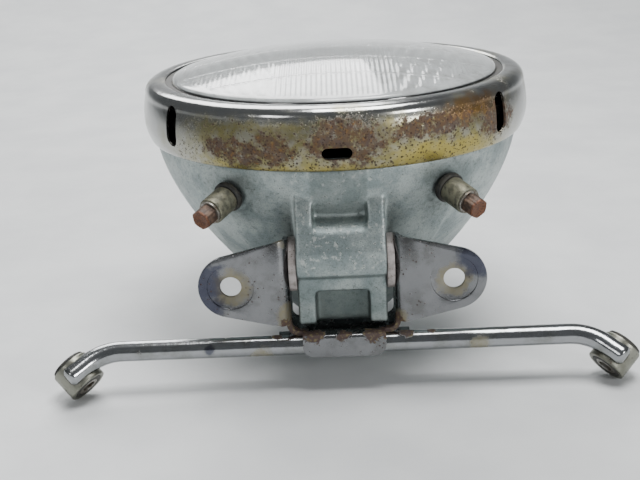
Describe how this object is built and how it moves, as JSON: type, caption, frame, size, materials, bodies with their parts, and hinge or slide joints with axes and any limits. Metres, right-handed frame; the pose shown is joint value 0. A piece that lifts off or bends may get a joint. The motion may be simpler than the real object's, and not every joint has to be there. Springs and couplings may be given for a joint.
{
  "type": "motorcycle lamp on hinged bracket",
  "caption": "Round motorcycle lamp with a chromed rim, fluted glass and a cast bowl, hinged on a steel ear bracket welded to a cross rod with rubber-bushed eyes.",
  "frame": {"origin": "where the lamp axis meets the flat back of the bowl, on the surface it lies on", "axes": "+X along the cross rod, +Y away from the bracket, +Z out of the lens along the lamp axis"},
  "size_m": [0.2706, 0.2059, 0.1433],
  "materials": {
    "cast_alloy": "sand-grained cast aluminium, dull grey-green with fine dark pitting",
    "rim_chrome": "chrome plate with yellow-brown rust bloom and dark pitting",
    "lens_glass": "clear pressed glass with vertical flutes",
    "black_rubber": "matt black moulded rubber",
    "reflector_silver": "bright aluminised inside",
    "plain_steel": "dull zinc-plated steel",
    "rusty_screw": "rusted steel, orange-brown head",
    "zinc_collar": "dull olive-grey zinc plate",
    "grey_nylon": "greyed nylon",
    "brass_cap": "bulb cap metal",
    "bulb_glass": "clear glass",
    "bracket_plate": "old zinc-chrome plate with blue-black stains and rust at the floor edge",
    "rod_chrome": "dulled chrome"
  },
  "bodies": {
    "bracket": {"mounting_bracket": "bracket_plate", "cross_rod": "rod_chrome", "weld_beads": "bracket_plate", "left_rod_eye": "rod_chrome", "right_rod_eye": "rod_chrome", "left_eye_grommet": "black_rubber", "right_eye_grommet": "black_rubber", "left_eye_sleeve": "plain_steel", "right_eye_sleeve": "plain_steel", "pivot_bolt": "plain_steel", "pivot_nut": "plain_steel", "plain_washers": "plain_steel", "spring_washer": "plain_steel", "left_friction_washer": "grey_nylon", "right_friction_washer": "grey_nylon"},
    "lamp": {"bowl": "cast_alloy", "bulb_base": "brass_cap", "bulb_boot": "black_rubber", "bulb_clip": "plain_steel", "bulb_glass": "bulb_glass", "bulb_terminals": "brass_cap", "cable_inlet": "black_rubber", "left_rim_tab": "plain_steel", "left_unit_collar": "zinc_collar", "left_unit_rubber": "black_rubber", "left_unit_screw": "rusty_screw", "left_unit_washer": "zinc_collar", "lens": "lens_glass", "lens_gasket": "black_rubber", "pivot_sleeve": "plain_steel", "reflector": "reflector_silver", "right_rim_tab": "plain_steel", "right_unit_collar": "zinc_collar", "right_unit_rubber": "black_rubber", "right_unit_screw": "rusty_screw", "right_unit_washer": "zinc_collar", "rim": "rim_chrome", "rim_hook": "plain_steel", "tab_nuts": "plain_steel", "unit_clips": "plain_steel", "unit_ring": "plain_steel"}
  },
  "joints": [
    {"name": "lamp_tilt", "type": "hinge", "parent": "bracket", "child": "lamp", "pos_m": [0, -0.0865, 0.059], "axis": [1, 0, 0], "range_deg": [-15, 15]}
  ]
}
